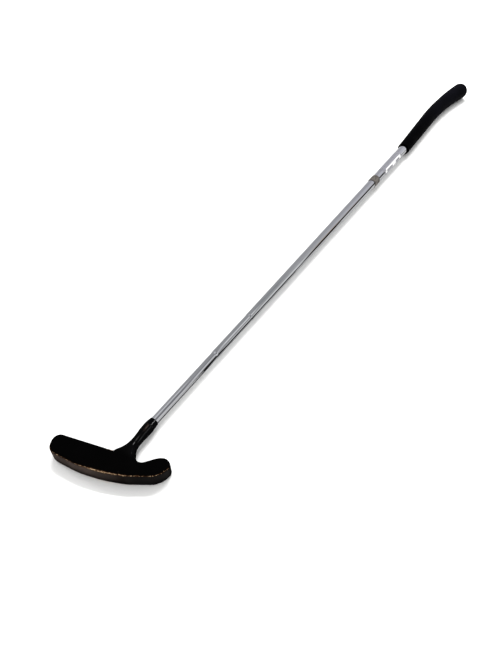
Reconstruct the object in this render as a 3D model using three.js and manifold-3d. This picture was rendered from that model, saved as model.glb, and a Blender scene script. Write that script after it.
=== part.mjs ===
// A two-way putter that lies on its lower striking face and on the butt of its grip.
// Millimetres. +Y runs up the shaft to the grip, +X points to the heel, +Z away from the floor.
// The origin is the middle of the footprint, on the floor.
// Every turned piece is made on the shaft's straight axis, from the top of the ferrule at 0,
// and then follows the shaft's course, which bends under the grip.

import * as THREE from 'three';
import { mergeVertices } from 'three/addons/utils/BufferGeometryUtils.js';
import Module from 'manifold-3d';

const wasm = await Module();
wasm.setup();

// Head
const headLength = 120.4;      // toe to heel along the blade
const bladeHeight = 25.5;      // top line down to the lowest point of the sole
const soleWidth = 20;          // between the two faces at the lowest point of the sole
const topLineWidth = 17.6;     // between the two faces at the top line
const soleCamber = 1.5;        // how far the sole bows out between the two faces
const edgeRadius = 2.4;        // rounding all round both faces
const topLineLean = 16;        // degrees between the top line and a square to the shaft
const toeReachShare = 0.5748;  // share of the head's length on the toe side of the shaft
const sightGrooveRadius = 1.1;
const sightGrooveDepth = 0.7;
const sightGrooveShare = 0.458; // place along the head, from the toe

// Hosel and neck, one casting with the blade
const axisToTopLine = 48.6;    // from the top of the ferrule down to the top line
const hoselRadius = 6.05;
const neckRootDepth = 7.2;     // how far the neck carries on inside the blade
const neckRootInset = 0.55;    // how far its root stays under the blade's two faces
const socketDepth = 11.5;
const socketPoint = 2.2;       // cone that a drill leaves at the bottom of the socket

// Ferrule
const ferruleLength = 8;
const ferruleTopRadius = 5.0;
const ferruleBottomRadius = 5.8;
const ferruleEdge = 0.5;

// Shaft
const shaftTipRadius = 4.5;
const firstStepPlace = 101;    // from the top of the ferrule
const secondStepPlace = 168.3;
const stepRamp = 3;            // length of the cone between two diameters
const tipSectionTopRadius = 4.65;
const midSectionRadius = 4.95;
const taperBottomRadius = 5.2;
const taperTopRadius = 6.8;
const taperTopPlace = 590;
const shaftWall = 0.6;
const bondThickness = 0.25;
const fitGap = 0.12;           // running gap between pieces that sleeve over each other

// Tape ring and label on the shaft
const tapeRingPlace = 487.5;
const tapeRingLength = 15;
const tapeRingThickness = 0.5;
const labelPlace = 520;
const labelLength = 57;
const labelThickness = 0.2;

// Grip
const gripPlace = 599.5;       // mouth of the grip
const gripLength = 236.5;
const gripMouthRadius = 9;
const gripButtRadius = 12.7;
const gripMouthEdge = 0.5;
const gripTapeThickness = 0.3;
const gripTapeSetback = 4;     // the tape starts this far inside the mouth
const capHeight = 9;
const capSpigotLength = 4;
const capTopRadius = 8.2;
const ventRadius = 1.2;
const seatGap = 0.25;          // between pieces that meet end to end

// The shaft's course under the grip: lengths along it, and turns in degrees to the heel side
const firstBendPlace = 588;
const firstBendLength = 30;
const firstBendTurn = -2.5;
const secondBendPlace = 706;
const secondBendTurn = 14.6;

const overrun = 2;             // how far every cut runs past what it cuts
const turnedSides = 24;
const neckSides = 32;
const gripStations = 16;

// Upper outline of the blade from the toe end of the top line, down round the toe, along the
// sole, up round the heel and down into the crotch by the neck:
// shares of the head's length from the toe, and of the blade's height from the top line.
const bladeOutlineShares = [
  [0.027, -0.047], [0.003, -0.186], [0.000, -0.397], [0.011, -0.598], [0.033, -0.740],
  [0.077, -0.838], [0.168, -0.916], [0.296, -0.992], [0.424, -0.996], [0.543, -0.965],
  [0.701, -0.851], [0.789, -0.727], [0.895, -0.566], [0.934, -0.453], [0.966, -0.312],
  [0.988, -0.146], [1.000, 0.016], [0.991, 0.161], [0.965, 0.278], [0.935, 0.322],
  [0.906, 0.302], [0.875, 0.239], [0.843, 0.133], [0.808, -0.004], [0.773, -0.114],
  [0.743, -0.165], [0.718, -0.173],
];
const topLineToeShare = 0.049;   // where the straight top line starts
const topLineHeelShare = 0.631;  // where it ends, under the neck

// Sections of the hosel and neck at even steps from the hosel's rim down into the blade:
// reach to the toe side, reach to the heel side and depth as shares of the hosel's radius,
// then how much of that depth has become the blade's, and how square the section is.
const neckSectionShares = [
  [0.965, 1.000, 0.970, 0.00, 2.0], [0.930, 1.030, 0.970, 0.00, 2.0],
  [0.910, 1.020, 0.920, 0.00, 2.0], [0.810, 1.000, 0.860, 0.00, 2.0],
  [0.750, 1.000, 0.800, 0.00, 2.0], [0.710, 1.020, 0.770, 0.00, 2.0],
  [0.710, 1.090, 0.800, 0.00, 2.1], [0.730, 1.270, 0.800, 0.22, 2.3],
  [0.830, 1.740, 0.800, 0.52, 2.7], [1.040, 2.360, 0.800, 0.80, 3.3],
  [1.320, 3.100, 0.800, 0.96, 4.0], [1.450, 3.600, 0.800, 1.00, 4.0],
  [1.300, 3.400, 0.800, 1.00, 4.0],
];

// Radius of the grip at even steps from its mouth to its widest ring by the cap:
// shares of the growth from the mouth's radius to the butt's.
const gripSwellShares = [0, 0.07, 0.14, 0.21, 0.28, 0.35, 0.42, 0.50, 0.64, 0.84, 1];

const radians = THREE.MathUtils.degToRad;
const lerp = THREE.MathUtils.lerp;

// Value at a share of the way along a row of evenly spaced values, on a smooth curve
function along(values, share) {
  const curve = new THREE.SplineCurve(values.map((value, i) => new THREE.Vector2(i, value)));
  return curve.getPoint(THREE.MathUtils.clamp(share, 0, 1)).y;
}

// Moves each corner of a geometry by a function of its place
function reshape(geometry, move) {
  const position = geometry.attributes.position;
  const point = new THREE.Vector3();
  for (let i = 0; i < position.count; i += 1) {
    point.fromBufferAttribute(position, i);
    move(point);
    position.setXYZ(i, point.x, point.y, point.z);
  }
  return geometry;
}

// One closed skin: corners that share a place are merged, and empty triangles dropped
function weld(geometry) {
  const bare = geometry.clone();
  bare.deleteAttribute('normal');
  bare.deleteAttribute('uv');
  const merged = mergeVertices(bare);
  const corners = merged.index.array;
  const kept = [];
  for (let i = 0; i < corners.length; i += 3) {
    const [a, b, c] = corners.slice(i, i + 3);
    if (a !== b && b !== c && c !== a) kept.push(a, b, c);
  }
  merged.setIndex(kept);
  return merged;
}

function toSolid(geometry) {
  const skin = weld(geometry);
  return new wasm.Manifold(new wasm.Mesh({
    numProp: 3,
    vertProperties: new Float32Array(skin.attributes.position.array),
    triVerts: new Uint32Array(skin.index.array),
  }));
}

function fromSolid(solid) {
  const skin = solid.getMesh();
  const geometry = new THREE.BufferGeometry();
  geometry.setAttribute('position', new THREE.BufferAttribute(skin.vertProperties, 3));
  geometry.setIndex(new THREE.BufferAttribute(skin.triVerts, 1));
  return geometry;
}

function named(name, geometry, material) {
  geometry.computeVertexNormals();
  const mesh = new THREE.Mesh(geometry, material);
  mesh.name = name;
  return mesh;
}

// Materials

function blackPaintedCasting() {
  return new THREE.MeshStandardMaterial({ color: 0x1d1c1c, roughness: 0.45, metalness: 0.3 });
}

function glossBlackPlastic() {
  return new THREE.MeshStandardMaterial({ color: 0x101012, roughness: 0.2, metalness: 0 });
}

function curedEpoxy() {
  return new THREE.MeshStandardMaterial({ color: 0xb9a979, roughness: 0.4, metalness: 0 });
}

function chromedSteel() {
  return new THREE.MeshStandardMaterial({ color: 0xb9bbc2, roughness: 0.12, metalness: 1 });
}

function wornClothTape() {
  return new THREE.MeshStandardMaterial({ color: 0x6d665f, roughness: 0.85, metalness: 0 });
}

function printedFilm() {
  return new THREE.MeshStandardMaterial({ color: 0xa9abb2, roughness: 0.3, metalness: 0 });
}

function paleGripTape() {
  return new THREE.MeshStandardMaterial({ color: 0xcbb98e, roughness: 0.9, metalness: 0 });
}

function blackRubber() {
  return new THREE.MeshStandardMaterial({ color: 0x17171b, roughness: 0.8, metalness: 0 });
}

// The shaft's course

// The straight and curved stretches of the axis, with the turn in each
function courseStretches() {
  const gripEnd = gripPlace + gripLength;
  const firstBendEnd = firstBendPlace + firstBendLength;
  return [
    { length: firstBendPlace, turn: 0 },
    { length: firstBendLength, turn: radians(firstBendTurn) },
    { length: secondBendPlace - firstBendEnd, turn: 0 },
    { length: gripEnd - secondBendPlace, turn: radians(secondBendTurn) },
  ];
}

// Place and heading of the axis at a distance from the top of the ferrule;
// the axis runs on straight below the ferrule and past the last bend
function courseAt(distance) {
  const place = { x: 0, y: 0, heading: 0 };
  if (distance <= 0) return { ...place, y: distance };
  let left = distance;
  for (const { length, turn } of courseStretches()) {
    const walked = Math.min(left, length);
    const turned = turn * (walked / length);
    const middle = place.heading + turned / 2;
    const chord = turned === 0 ? walked : walked * Math.sin(turned / 2) / (turned / 2);
    place.x += chord * Math.sin(middle);
    place.y += chord * Math.cos(middle);
    place.heading += turned;
    left -= walked;
  }
  place.x += left * Math.sin(place.heading);
  place.y += left * Math.cos(place.heading);
  return place;
}

// A closed profile of [radius, distance] corners, turned about the axis and laid on its course
function turned(profile) {
  const corners = profile.map(([radius, distance]) => new THREE.Vector2(radius, distance));
  const blank = new THREE.LatheGeometry([...corners, corners[0]], turnedSides);
  return weld(reshape(blank, (point) => {
    const { x, y, heading } = courseAt(point.y);
    const side = point.x;
    point.x = x + side * Math.cos(heading);
    point.y = y - side * Math.sin(heading);
  }));
}

// Stations that every sleeve under the grip shares, so that they bend alike, kept between two ends
function stationsBetween(low, high) {
  const places = [];
  for (let i = 0; i <= gripStations; i += 1) {
    const place = gripPlace + gripLength * (i / gripStations);
    if (place > low + fitGap && place < high - fitGap) places.push(place);
  }
  return [low, ...places, high];
}

// A sleeve whose inner and outer radius follow the distance along the axis
function sleeve(places, innerAt, outerAt) {
  const inside = places.map((place) => [innerAt(place), place]);
  const outside = places.map((place) => [outerAt(place), place]);
  return turned([...outside, ...inside.reverse()]);
}

// Shaft

function shaftRadiusAt(place) {
  const tipEnd = shaftBottom();
  if (place <= firstStepPlace) {
    return lerp(shaftTipRadius, tipSectionTopRadius, (place - tipEnd) / (firstStepPlace - tipEnd));
  }
  const firstTop = firstStepPlace + stepRamp;
  if (place < firstTop) {
    return lerp(tipSectionTopRadius, midSectionRadius, (place - firstStepPlace) / stepRamp);
  }
  if (place <= secondStepPlace) return midSectionRadius;
  const secondTop = secondStepPlace + stepRamp;
  if (place < secondTop) {
    return lerp(midSectionRadius, taperBottomRadius, (place - secondStepPlace) / stepRamp);
  }
  const share = (place - secondTop) / (taperTopPlace - secondTop);
  return lerp(taperBottomRadius, taperTopRadius, Math.min(share, 1));
}

function shaftBottom() {
  return -ferruleLength - socketDepth + seatGap;
}

function shaftTop() {
  return gripPlace + gripLength - capHeight - capSpigotLength - seatGap;
}

function shaftTube() {
  const places = [
    shaftBottom(), 0, firstStepPlace, firstStepPlace + stepRamp,
    secondStepPlace, secondStepPlace + stepRamp, tapeRingPlace, tapeRingPlace + tapeRingLength,
    labelPlace, labelPlace + labelLength, taperTopPlace,
    ...stationsBetween(gripPlace, shaftTop()),
  ];
  const innerAt = (place) => shaftRadiusAt(place) - shaftWall;
  return named('shaft_tube', sleeve(places, innerAt, shaftRadiusAt), chromedSteel());
}

function bandOnShaft(low, high, thickness) {
  const innerAt = (place) => shaftRadiusAt(place) + fitGap;
  return sleeve([low, high], innerAt, (place) => innerAt(place) + thickness);
}

function tapeRing() {
  const top = tapeRingPlace + tapeRingLength;
  const geometry = bandOnShaft(tapeRingPlace, top, tapeRingThickness);
  return named('tape_ring', geometry, wornClothTape());
}

function shaftLabel() {
  const geometry = bandOnShaft(labelPlace, labelPlace + labelLength, labelThickness);
  return named('shaft_label', geometry, printedFilm());
}

// Grip

function gripBoreRadius() {
  return taperTopRadius + fitGap + gripTapeThickness + fitGap;
}

function sleeveTop() {
  return gripPlace + gripLength - capHeight;
}

function gripTape() {
  const places = stationsBetween(gripPlace + gripTapeSetback, shaftTop() - gripTapeSetback);
  const inner = taperTopRadius + fitGap;
  const geometry = sleeve(places, () => inner, () => inner + gripTapeThickness);
  return named('grip_tape', geometry, paleGripTape());
}

function gripSleeve() {
  const edgePlace = gripPlace + gripMouthEdge;
  const outerAt = (place) => {
    if (place < edgePlace) return gripMouthRadius - gripMouthEdge;
    const share = (place - gripPlace) / (sleeveTop() - gripPlace);
    return lerp(gripMouthRadius, gripButtRadius, along(gripSwellShares, share));
  };
  const places = [gripPlace, ...stationsBetween(edgePlace, sleeveTop())];
  return named('grip_sleeve', sleeve(places, gripBoreRadius, outerAt), blackRubber());
}

function gripCap() {
  const bottom = sleeveTop() + seatGap;
  const top = gripPlace + gripLength;
  const spigotBottom = shaftTop() + seatGap;
  const spigotRadius = gripBoreRadius() - fitGap;
  const dome = [];
  const domeSteps = 6;
  for (let i = 0; i <= domeSteps; i += 1) {
    const angle = (Math.PI / 2) * (i / domeSteps);
    const radius = lerp(capTopRadius, gripButtRadius, Math.cos(angle));
    dome.push([radius, lerp(bottom, top, Math.sin(angle))]);
  }
  const profile = [
    [ventRadius, spigotBottom], [spigotRadius, spigotBottom], [spigotRadius, bottom],
    ...dome, [ventRadius, top],
  ];
  return named('grip_cap', turned(profile), blackRubber());
}

// Ferrule and bond

function ferrule() {
  const bottom = -ferruleLength + seatGap;
  const innerAt = (place) => shaftRadiusAt(place) + fitGap;
  const profile = [
    [innerAt(bottom), bottom], [ferruleBottomRadius, bottom],
    [ferruleTopRadius, -ferruleEdge], [ferruleTopRadius - ferruleEdge / 2, 0], [innerAt(0), 0],
  ];
  return named('ferrule', turned(profile), glossBlackPlastic());
}

function bondInnerRadius() {
  return shaftRadiusAt(-ferruleLength) + fitGap;
}

function socketRadius() {
  return bondInnerRadius() + bondThickness + fitGap;
}

function epoxyBond() {
  const places = [shaftBottom(), -ferruleLength];
  const geometry = sleeve(places, bondInnerRadius, () => bondInnerRadius() + bondThickness);
  return named('epoxy_bond', geometry, curedEpoxy());
}

// Head casting

function axisHeight() {
  return topLineWidth / 2;
}

// Tilt of the shaft that lets the butt of the grip touch the floor the head lies on
function restTilt() {
  const widest = courseAt(sleeveTop());
  const reach = Math.hypot(widest.y, gripButtRadius);
  return Math.atan2(gripButtRadius, widest.y) - Math.asin(axisHeight() / reach);
}

function bladeOutline() {
  const place = ([fromToe, up]) => new THREE.Vector2(
    headLength * (fromToe - toeReachShare),
    bladeHeight * up,
  );
  const corners = bladeOutlineShares.map(place);
  const topLineToe = place([topLineToeShare, 0]);
  const topLineHeel = place([topLineHeelShare, 0]);
  const shape = new THREE.Shape();
  shape.moveTo(topLineToe.x, topLineToe.y);
  shape.splineThru(corners);
  shape.lineTo(topLineHeel.x, topLineHeel.y);
  shape.closePath();
  return shape;
}

// The blade in its own frame: X along the top line to the heel, Y up, lower face on Z = 0.
// Its upper face leans, from the sole's width to the top line's, and its sole bows out.
function bladeBlank() {
  const straight = soleWidth - 2 * edgeRadius;
  const blank = new THREE.ExtrudeGeometry(bladeOutline(), {
    depth: straight,
    steps: 4,
    curveSegments: 3,
    bevelThickness: edgeRadius,
    bevelSize: edgeRadius,
    bevelOffset: -edgeRadius,
    bevelSegments: 4,
  });
  blank.translate(0, 0, edgeRadius);
  return reshape(blank, (point) => {
    const down = -point.y / bladeHeight;
    const across = 2 * point.z / soleWidth - 1;
    point.y -= soleCamber * Math.max(down, 0) ** 2 * (1 - across ** 2);
    point.z *= lerp(topLineWidth, soleWidth, down) / soleWidth;
  });
}

// A slot with a round floor that crosses the top line from face to face
function sightGrooveCutter() {
  const length = soleWidth + 2 * overrun;
  const cutter = new THREE.CylinderGeometry(sightGrooveRadius, sightGrooveRadius, length, turnedSides);
  cutter.rotateX(Math.PI / 2);
  const place = headLength * (sightGrooveShare - toeReachShare);
  cutter.translate(place, sightGrooveRadius - sightGrooveDepth, soleWidth / 2);
  return cutter;
}

// Hosel and neck on the shaft's axis: a turned blank whose round sections are drawn out
// to each side and squared as they come down into the blade
function neckBlank() {
  const bottom = -axisToTopLine - neckRootDepth;
  const rim = -ferruleLength;
  const rows = 2 * (neckSectionShares.length - 1);
  const column = (index, share) => along(neckSectionShares.map((row) => row[index]), share);
  const profile = [new THREE.Vector2(0, rim)];
  for (let i = 0; i <= rows; i += 1) profile.push(new THREE.Vector2(1, lerp(rim, bottom, i / rows)));
  profile.push(new THREE.Vector2(0, bottom));
  const blank = new THREE.LatheGeometry(profile.reverse(), neckSides);
  const rootDepth = topLineWidth / 2 - neckRootInset;
  return reshape(blank, (point) => {
    const share = (point.y - rim) / (bottom - rim);
    const squareness = 2 / column(4, share);
    const reach = hoselRadius * column(point.x < 0 ? 0 : 1, share);
    const depth = lerp(hoselRadius * column(2, share), rootDepth, column(3, share));
    point.x = Math.sign(point.x) * Math.abs(point.x) ** squareness * reach;
    point.z = Math.sign(point.z) * Math.abs(point.z) ** squareness * depth;
  });
}

function socketCutter() {
  const floor = -ferruleLength - socketDepth;
  const radius = socketRadius();
  return turned([
    [0, floor - socketPoint], [radius, floor], [radius, -ferruleLength + overrun],
    [0, -ferruleLength + overrun],
  ]);
}

// Places the blade under the shaft: its top line meets the axis, its lower face lies on the floor
function placeBlade(geometry) {
  geometry.rotateZ(radians(topLineLean));
  geometry.translate(0, -axisToTopLine, 0);
  return geometry;
}

function headCasting(shaftFrame) {
  const blade = toSolid(placeBlade(bladeBlank()));
  const groove = toSolid(placeBlade(sightGrooveCutter()));
  const neck = toSolid(neckBlank().applyMatrix4(shaftFrame.matrix));
  const socket = toSolid(socketCutter().applyMatrix4(shaftFrame.matrix));
  const solid = blade.add(neck).subtract(groove).subtract(socket);
  return named('head_casting', fromSolid(solid), blackPaintedCasting());
}

// The whole putter

function putter() {
  const shaftFrame = new THREE.Group();
  shaftFrame.position.z = axisHeight();
  shaftFrame.rotation.x = restTilt();
  shaftFrame.updateMatrix();
  shaftFrame.add(ferrule(), epoxyBond(), shaftTube(), tapeRing(), shaftLabel());
  shaftFrame.add(gripTape(), gripSleeve(), gripCap());
  const lying = new THREE.Group();
  lying.add(headCasting(shaftFrame), shaftFrame);
  const footprint = new THREE.Box3().setFromObject(lying, true);
  const middle = footprint.getCenter(new THREE.Vector3());
  lying.position.set(-middle.x, -middle.y, -footprint.min.z);
  const whole = new THREE.Group();
  whole.add(lying);
  return whole;
}

export default putter();
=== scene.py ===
# %% [markdown]
# # A worn two-way putter, dressed over its CAD frame
# The frame is a set of plain solids at the real size, one for each part of the club. It says where
# everything is. This lesson puts a finished piece over each solid: the same form with more detail,
# and a material that shows how the real surface was made and how it has aged.

# %% Load the frame
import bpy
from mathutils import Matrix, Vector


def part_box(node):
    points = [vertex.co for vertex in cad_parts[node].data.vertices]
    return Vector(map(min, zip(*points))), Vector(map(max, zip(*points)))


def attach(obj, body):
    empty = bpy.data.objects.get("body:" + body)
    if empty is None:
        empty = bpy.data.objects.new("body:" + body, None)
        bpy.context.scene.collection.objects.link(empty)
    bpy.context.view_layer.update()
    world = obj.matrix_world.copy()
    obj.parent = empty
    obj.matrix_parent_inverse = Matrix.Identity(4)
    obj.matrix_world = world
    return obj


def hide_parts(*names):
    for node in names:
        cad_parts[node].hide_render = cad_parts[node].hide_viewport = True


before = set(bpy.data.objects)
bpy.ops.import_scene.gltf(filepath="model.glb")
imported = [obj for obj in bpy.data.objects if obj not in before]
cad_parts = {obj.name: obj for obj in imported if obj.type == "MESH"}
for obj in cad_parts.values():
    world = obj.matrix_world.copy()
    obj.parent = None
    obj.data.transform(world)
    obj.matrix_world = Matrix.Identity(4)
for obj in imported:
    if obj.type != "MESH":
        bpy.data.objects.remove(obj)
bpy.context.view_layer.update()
print("frame nodes:", ", ".join(sorted(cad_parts)))

# %% [markdown]
# ## Numbers and helpers
# Blender works in metres and the club is drawn in millimetres, so every length below is a number
# of millimetres times MM. Numpy handles many points at a time, which keeps mesh code short.

# %% Units
import math
import bpy
import numpy as np
from mathutils import Matrix, Vector, noise

MM = 0.001


def mix(a, b, share):
    """Value at a share of the way from a to b."""
    return a + (b - a) * share


def smooth_step(low, high, value):
    """0 below low, 1 above high, with a soft ramp between."""
    share = np.clip((value - low) / (high - low), 0, 1)
    return share * share * (3 - 2 * share)


# %% [markdown]
# ## The camera
# The photograph was taken standing at the heel side of the head and looking down by about 49
# degrees. The camera is made first so that every later step can be judged through it. Its place
# was worked out from the club's known lengths, seen along the shaft and across the head.

# %% Camera
camera_place = Vector((261.95, -579.6, 511.8)) * MM
camera_pitch = math.radians(49.15)
camera_turn = math.radians(34.45)
camera_data = bpy.data.cameras.new("camera")
camera_data.lens = 31.52
camera_data.sensor_width = 36
camera_data.clip_start = 20 * MM
camera_data.clip_end = 100
camera = bpy.data.objects.new("camera", camera_data)
camera.location = camera_place
camera.rotation_euler = (math.pi / 2 - camera_pitch, 0, camera_turn)
bpy.context.scene.collection.objects.link(camera)
bpy.context.scene.camera = camera
print("camera at", tuple(round(c, 3) for c in camera.location))

# %% [markdown]
# ## The course of the shaft
# A golf shaft is a straight tube, but this one was bent inside its grip by hard use. All turned
# pieces are drawn on a straight axis first, as a lathe would make them, and are then bent along
# the same course. That way the grip, the tube and the tape between them always stay concentric.
# The course is a list of stretches, each with a length and a turn towards the heel.

# %% Course
axis_height = 8.8 * MM         # half of the head's thickness at its top line
grip_place = 599.5 * MM        # mouth of the grip, measured from the top of the ferrule
grip_length = 236.5 * MM
cap_height = 9 * MM
grip_butt_radius = 12.7 * MM
first_bend_place = 588 * MM
first_bend_length = 30 * MM
second_bend_place = 706 * MM
grip_end = grip_place + grip_length
stretches = [
    (first_bend_place, 0.0),
    (first_bend_length, math.radians(-2.5)),
    (second_bend_place - first_bend_place - first_bend_length, 0.0),
    (grip_end - second_bend_place, math.radians(14.6)),
]


def course_at(distance):
    """Side step, way along and heading of the axis at a distance from the top of the ferrule."""
    if distance <= 0:
        return 0.0, distance, 0.0
    x, y, heading, left = 0.0, 0.0, 0.0, distance
    for length, turn in stretches:
        walked = min(left, length)
        bend = turn * walked / length
        chord = walked * math.sin(bend / 2) / (bend / 2) if bend else walked
        x += chord * math.sin(heading + bend / 2)
        y += chord * math.cos(heading + bend / 2)
        heading += bend
        left -= walked
    return x + left * math.sin(heading), y + left * math.cos(heading), heading


def rest_tilt():
    """Rise of the shaft that lets the butt of the grip touch the floor."""
    reach_y = course_at(grip_end - cap_height)[1]
    reach = math.hypot(reach_y, grip_butt_radius)
    return math.atan2(grip_butt_radius, reach_y) - math.asin(axis_height / reach)


ferrule_low, ferrule_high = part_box("ferrule")
axis_start = Vector(((ferrule_low.x + ferrule_high.x) / 2, ferrule_high.y, axis_height))
shaft_frame = Matrix.Translation(axis_start) @ Matrix.Rotation(rest_tilt(), 4, "X")
print("the shaft starts at", [round(c / MM, 2) for c in axis_start], "mm")

# %% [markdown]
# ## Meshes from rings
# Almost everything here is a row of rings joined by quads: a tube, a collar, a grip, even the neck
# of the head. One helper joins the rings, and another turns a profile of radius and distance into
# rings on the shaft's course. It also stores each point's place before the bend in an attribute
# called straight, so that scratches and print follow the bent piece without stretching.

# %% Rings
root = "root"


def mesh_object(name, points, faces):
    """A smooth-shaded object from points and faces, with outward normals."""
    mesh = bpy.data.meshes.new(name)
    mesh.from_pydata([tuple(p) for p in points], [], faces)
    mesh.validate()
    piece = bpy.data.objects.new(name, mesh)
    bpy.context.scene.collection.objects.link(piece)
    mesh.shade_smooth()
    return piece


def ring_faces(ring_count, sides, closed):
    """Quads between neighbouring rings, and from the last ring to the first if closed."""
    spots = np.arange(ring_count * sides).reshape(ring_count, sides)
    here, there = (spots, np.roll(spots, -1, 0)) if closed else (spots[:-1], spots[1:])
    quads = np.stack([here, np.roll(here, -1, 1), np.roll(there, -1, 1), there], axis=2)
    lids = [] if closed else [spots[0, ::-1].tolist(), spots[-1].tolist()]
    return quads.reshape(-1, 4).tolist() + lids


def write_attribute(mesh, name, values):
    """One number or one vector for each point of a mesh."""
    values = np.asarray(values, np.float32)
    kind = "FLOAT" if values.ndim == 1 else "FLOAT_VECTOR"
    attribute = mesh.attributes.new(name, kind, "POINT")
    attribute.data.foreach_set("value" if kind == "FLOAT" else "vector", values.ravel())


def lay_on_course(straight):
    """World places of points given as side step, distance and lift on the straight axis."""
    placed = np.empty_like(straight)
    bends = {}
    for i, (side, distance, lift) in enumerate(straight):
        key = round(float(distance), 7)
        if key not in bends:
            bends[key] = course_at(float(distance))
        x, y, heading = bends[key]
        flat = (x + side * math.cos(heading), y - side * math.sin(heading), lift)
        placed[i] = shaft_frame @ Vector(flat)
    return placed


def turned_piece(name, profile, sides=96, closed=True, move=None):
    """A profile of (radius, distance) turned about the axis and laid on the shaft's course."""
    angles = np.arange(sides) * (2 * math.pi / sides)
    radius, distance = np.array(profile).T[:, :, None]
    rings = np.broadcast_arrays(radius * np.cos(angles), distance, radius * np.sin(angles))
    straight = np.stack(rings, axis=2).reshape(-1, 3)
    if move:
        straight = move(straight)
    piece = mesh_object(name, lay_on_course(straight), ring_faces(len(profile), sides, closed))
    write_attribute(piece.data, "straight", straight)
    return piece


def dress(piece, node, material):
    """Puts a finished piece in the place of a CAD node."""
    piece.data.materials.clear()
    piece.data.materials.append(material)
    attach(piece, root)
    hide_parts(node)
    low, high = np.array(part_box(node))
    points = np.array([v.co for v in piece.data.vertices])
    past = np.concatenate([low - points.min(0), points.max(0) - high]).max()
    print(f"{piece.name}: {len(points)} points, {past / MM:+.2f} mm past its node's box")


def round_corner(centre, radius, start, end, steps=5):
    """Points of an arc in a profile, as (radius, distance), angles in degrees."""
    angles = np.radians(np.linspace(start, end, steps + 1))
    return [(centre[0] + radius * math.cos(a), centre[1] + radius * math.sin(a)) for a in angles]


# %% [markdown]
# ## Shader helpers
# A procedural material is a small program made of nodes. Each output of a node is wrapped here as a
# Value. Adding or multiplying Values adds the Math nodes for it and wires them up, so a material
# reads like plain arithmetic. The other helpers add one kind of node each.

# %% Nodes
class Value:
    """The output of a node; arithmetic with it adds Math nodes to its tree."""

    def __init__(self, socket):
        self.socket, self.tree = socket, socket.id_data

    def __add__(self, other):
        return calc("ADD", self, other)

    def __sub__(self, other):
        return calc("SUBTRACT", self, other)

    def __rsub__(self, other):
        return calc("SUBTRACT", other, self)

    def __mul__(self, other):
        return calc("MULTIPLY", self, other)

    def __truediv__(self, other):
        return calc("DIVIDE", self, other)

    def __rtruediv__(self, other):
        return calc("DIVIDE", other, self)


def wire(node, inputs):
    """Wires inputs of a node to Values, or sets them to plain numbers."""
    for key, value in inputs.items():
        if isinstance(value, Value):
            value.tree.links.new(value.socket, node.inputs[key])
        else:
            node.inputs[key].default_value = value


def outputs_of(node):
    """The outputs of a node as Values, by number and by name."""
    values = [Value(socket) for socket in node.outputs]
    return {**dict(enumerate(values)), **{v.socket.name: v for v in values}}


def add_node(tree, kind, inputs=None, **settings):
    """Outputs of a new node in a tree."""
    node = tree.nodes.new("ShaderNode" + kind)
    for name, value in settings.items():
        setattr(node, name, value)
    wire(node, inputs or {})
    return outputs_of(node)


def calc(operation, *terms):
    """Output of a Math node, in the tree of its terms."""
    tree = next(term.tree for term in terms if isinstance(term, Value))
    return add_node(tree, "Math", dict(enumerate(terms)), operation=operation)[0]


def soft_range(value, low, high, to_low=0.0, to_high=1.0):
    """A soft ramp of a value from one range to another."""
    return add_node(value.tree, "MapRange", {
        "Value": value, "From Min": low, "From Max": high, "To Min": to_low, "To Max": to_high,
    }, interpolation_type="SMOOTHSTEP")["Result"]


def between(value, low, high, blur):
    """1 where a value lies between two others, with edges of a given softness."""
    return (soft_range(value, low - blur, low + blur)
            * soft_range(value, high - blur, high + blur, 1.0, 0.0))


def rgba(color):
    """Four channels from a colour of three, or from one number for a grey."""
    return (color, color, color, 1) if isinstance(color, float) else (*color, 1)


def blend(share, first, second):
    """Colour at a share of the way from the first to the second."""
    first, second = (c if isinstance(c, Value) else rgba(c) for c in (first, second))
    return add_node(share.tree, "Mix", {0: share, 6: first, 7: second}, data_type="RGBA")[2]


def color_ramp(value, stops):
    """Colour by a value, from a list of (value, colour)."""
    ramp = value.tree.nodes.new("ShaderNodeValToRGB")
    elements = ramp.color_ramp.elements
    while len(elements) < len(stops):
        elements.new(0.5)
    for element, (place, color) in zip(elements, stops):
        element.position = place
        element.color = rgba(color)
    wire(ramp, {0: value})
    return outputs_of(ramp)["Color"]


def noise_value(place, scale, detail=3.0, roughness=0.5):
    """Smooth noise between 0 and 1 at a place."""
    return add_node(place.tree, "TexNoise", {
        "Vector": place, "Scale": scale, "Detail": detail, "Roughness": roughness,
    })["Fac"]


def stretched(place, scale):
    """A place scaled by its own number along each axis."""
    return add_node(place.tree, "VectorMath", {0: place, 1: scale}, operation="MULTIPLY")[0]


def split(place):
    """The X, Y and Z of a place."""
    return add_node(place.tree, "SeparateXYZ", {0: place})


def attribute(shader, name, output="Fac"):
    """A number or a vector that is stored on the mesh."""
    return add_node(shader.id_data, "Attribute", attribute_name=name)[output]


def own_place(shader):
    """The place in the object's own space."""
    return add_node(shader.id_data, "TexCoord")["Object"]


def new_material(name, **constants):
    """A material and its Principled BSDF, plain numbers set on the shader itself."""
    material = bpy.data.materials.new(name)
    material.use_nodes = True
    shader = material.node_tree.nodes["Principled BSDF"]
    wire(shader, {key.replace("_", " "): value for key, value in constants.items()})
    print("material:", name)
    return material, shader


def bump(shader, height, distance):
    """Feeds a height into the shader's normal."""
    lifted = add_node(height.tree, "Bump", {"Height": height, "Distance": distance})
    wire(shader, {"Normal": lifted["Normal"]})


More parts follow.
